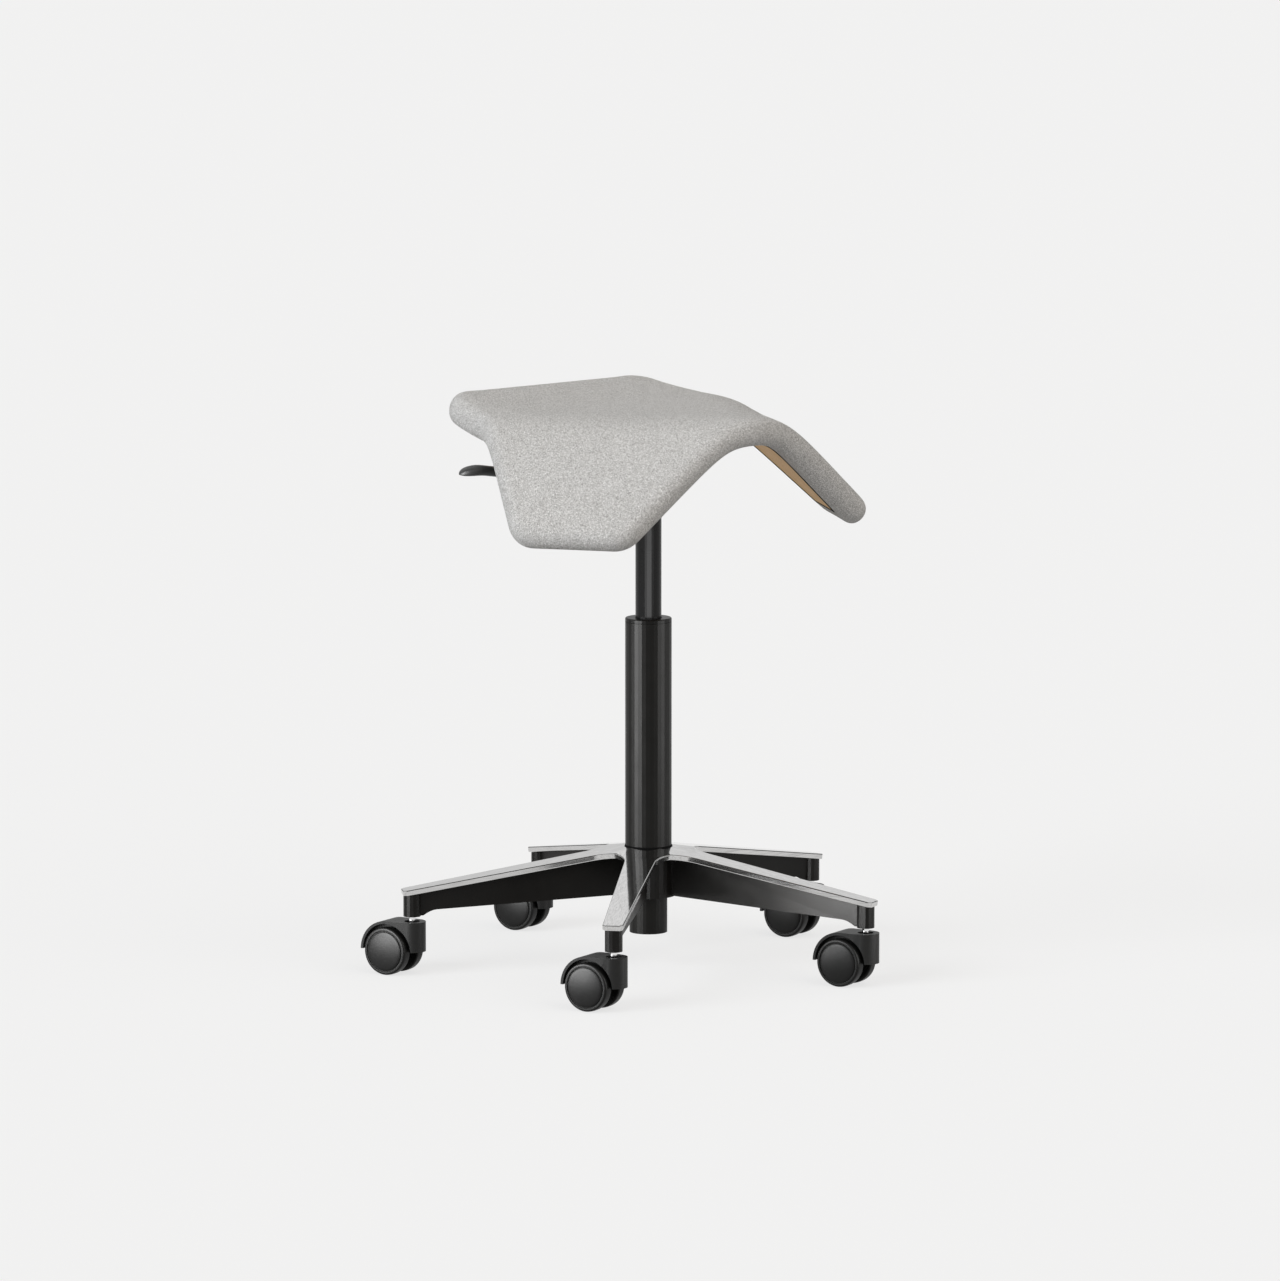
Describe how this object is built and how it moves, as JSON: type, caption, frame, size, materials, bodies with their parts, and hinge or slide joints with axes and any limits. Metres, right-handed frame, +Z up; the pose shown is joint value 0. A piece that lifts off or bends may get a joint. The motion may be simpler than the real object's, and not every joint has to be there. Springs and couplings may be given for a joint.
{
  "type": "saddle chair",
  "caption": "Height-adjustable saddle chair: padded three-lobed seat on a plywood shell, gas-lift column and star base with polished top and twin-wheel casters.",
  "frame": {"origin": "on the floor under the column's axis", "axes": "+Z up; the seat's front faces -Y and the sitter's left is +X"},
  "size_m": [0.521, 0.5611, 0.6204],
  "materials": {
    "upholstery": "flat woven wool blend",
    "plywood": "clear lacquered birch",
    "polished": "polished",
    "black_metal": "fine satin black",
    "black_nylon": "satin black",
    "bright_steel": "bright plated",
    "plain_steel": "plain",
    "white_nylon": "natural",
    "black_rubber": "matt"
  },
  "bodies": {
    "base": {"base_spider": "black_metal", "base_plate": "polished", "column_tube": "black_metal", "column_cap": "black_nylon", "guide_sleeve": "black_nylon", "bearing_washer_lower": "plain_steel", "caster_stem_1": "bright_steel", "caster_stem_2": "bright_steel", "caster_stem_3": "bright_steel", "caster_stem_4": "bright_steel", "caster_stem_5": "bright_steel"},
    "spindle": {"piston_rod": "bright_steel", "piston": "white_nylon", "bearing_washer_upper": "plain_steel", "bearing_cage": "white_nylon", "bumper": "black_rubber", "retaining_clip": "plain_steel"},
    "seat": {"seat_cushion": "upholstery", "seat_shell": "plywood", "seat_bracket": "black_metal", "pressure_tube": "black_metal", "rod_gland": "white_nylon", "lever_pivot": "plain_steel", "tee_nut_1": "plain_steel", "tee_nut_2": "plain_steel", "tee_nut_3": "plain_steel", "tee_nut_4": "plain_steel", "seat_screw_1": "plain_steel", "seat_screw_2": "plain_steel", "seat_screw_3": "plain_steel", "seat_screw_4": "plain_steel"},
    "lever": {"lever_arm": "black_metal", "lever_handle": "black_nylon"},
    "release": {"release_pin": "plain_steel"},
    "caster_1": {"caster_hood_1": "black_nylon", "caster_axle_1": "plain_steel"},
    "roller_left_1": {"wheel_left_1": "black_nylon"},
    "roller_right_1": {"wheel_right_1": "black_nylon"},
    "caster_2": {"caster_hood_2": "black_nylon", "caster_axle_2": "plain_steel"},
    "roller_left_2": {"wheel_left_2": "black_nylon"},
    "roller_right_2": {"wheel_right_2": "black_nylon"},
    "caster_3": {"caster_hood_3": "black_nylon", "caster_axle_3": "plain_steel"},
    "roller_left_3": {"wheel_left_3": "black_nylon"},
    "roller_right_3": {"wheel_right_3": "black_nylon"},
    "caster_4": {"caster_hood_4": "black_nylon", "caster_axle_4": "plain_steel"},
    "roller_left_4": {"wheel_left_4": "black_nylon"},
    "roller_right_4": {"wheel_right_4": "black_nylon"},
    "caster_5": {"caster_hood_5": "black_nylon", "caster_axle_5": "plain_steel"},
    "roller_left_5": {"wheel_left_5": "black_nylon"},
    "roller_right_5": {"wheel_right_5": "black_nylon"}
  },
  "joints": [
    {"name": "seat_swivel", "type": "hinge", "parent": "base", "child": "spindle", "pos_m": [0, 0, 0.05], "axis": [0, 0, 1], "continuous": true},
    {"name": "seat_height", "type": "slide", "parent": "spindle", "child": "seat", "axis": [0, 0, 1], "range_m": [-0.14, 0.035]},
    {"name": "lever_lift", "type": "hinge", "parent": "seat", "child": "lever", "pos_m": [-0.03234, 0.01051, 0.56009], "axis": [0.309, 0.9511, 0], "range_deg": [0, 4], "stiffness_Nm_per_rad": 4, "springref_deg": -4.58},
    {"name": "pin_press", "type": "slide", "parent": "seat", "child": "release", "axis": [0, 0, -1], "range_m": [0, 0.0027]},
    {"name": "caster_swivel_1", "type": "hinge", "parent": "base", "child": "caster_1", "pos_m": [-0.20141, -0.15963, 0.05], "axis": [0, 0, 1], "continuous": true},
    {"name": "wheel_spin_left_1", "type": "hinge", "parent": "caster_1", "child": "roller_left_1", "pos_m": [-0.2075, -0.13704, 0.0258], "axis": [0.9655, 0.2605, 0], "continuous": true},
    {"name": "wheel_spin_right_1", "type": "hinge", "parent": "caster_1", "child": "roller_right_1", "pos_m": [-0.2075, -0.13704, 0.0258], "axis": [0.9655, 0.2605, 0], "continuous": true},
    {"name": "caster_swivel_2", "type": "hinge", "parent": "base", "child": "caster_2", "pos_m": [0.08958, -0.24088, 0.05], "axis": [0, 0, 1], "continuous": true},
    {"name": "wheel_spin_left_2", "type": "hinge", "parent": "caster_2", "child": "roller_left_2", "pos_m": [0.08349, -0.21829, 0.0258], "axis": [0.9655, 0.2605, 0], "continuous": true},
    {"name": "wheel_spin_right_2", "type": "hinge", "parent": "caster_2", "child": "roller_right_2", "pos_m": [0.08349, -0.21829, 0.0258], "axis": [0.9655, 0.2605, 0], "continuous": true},
    {"name": "caster_swivel_3", "type": "hinge", "parent": "base", "child": "caster_3", "pos_m": [0.25677, 0.01076, 0.05], "axis": [0, 0, 1], "continuous": true},
    {"name": "wheel_spin_left_3", "type": "hinge", "parent": "caster_3", "child": "roller_left_3", "pos_m": [0.25068, 0.03335, 0.0258], "axis": [0.9655, 0.2605, 0], "continuous": true},
    {"name": "wheel_spin_right_3", "type": "hinge", "parent": "caster_3", "child": "roller_right_3", "pos_m": [0.25068, 0.03335, 0.0258], "axis": [0.9655, 0.2605, 0], "continuous": true},
    {"name": "caster_swivel_4", "type": "hinge", "parent": "base", "child": "caster_4", "pos_m": [0.06911, 0.24753, 0.05], "axis": [0, 0, 1], "continuous": true},
    {"name": "wheel_spin_left_4", "type": "hinge", "parent": "caster_4", "child": "roller_left_4", "pos_m": [0.06302, 0.27013, 0.0258], "axis": [0.9655, 0.2605, 0], "continuous": true},
    {"name": "wheel_spin_right_4", "type": "hinge", "parent": "caster_4", "child": "roller_right_4", "pos_m": [0.06302, 0.27013, 0.0258], "axis": [0.9655, 0.2605, 0], "continuous": true},
    {"name": "caster_swivel_5", "type": "hinge", "parent": "base", "child": "caster_5", "pos_m": [-0.21406, 0.14222, 0.05], "axis": [0, 0, 1], "continuous": true},
    {"name": "wheel_spin_left_5", "type": "hinge", "parent": "caster_5", "child": "roller_left_5", "pos_m": [-0.22016, 0.16481, 0.0258], "axis": [0.9655, 0.2605, 0], "continuous": true},
    {"name": "wheel_spin_right_5", "type": "hinge", "parent": "caster_5", "child": "roller_right_5", "pos_m": [-0.22016, 0.16481, 0.0258], "axis": [0.9655, 0.2605, 0], "continuous": true}
  ],
  "couplings": [
    {"joint": "pin_press", "follows": "lever_lift", "m_per_rad": 0.0372}
  ]
}
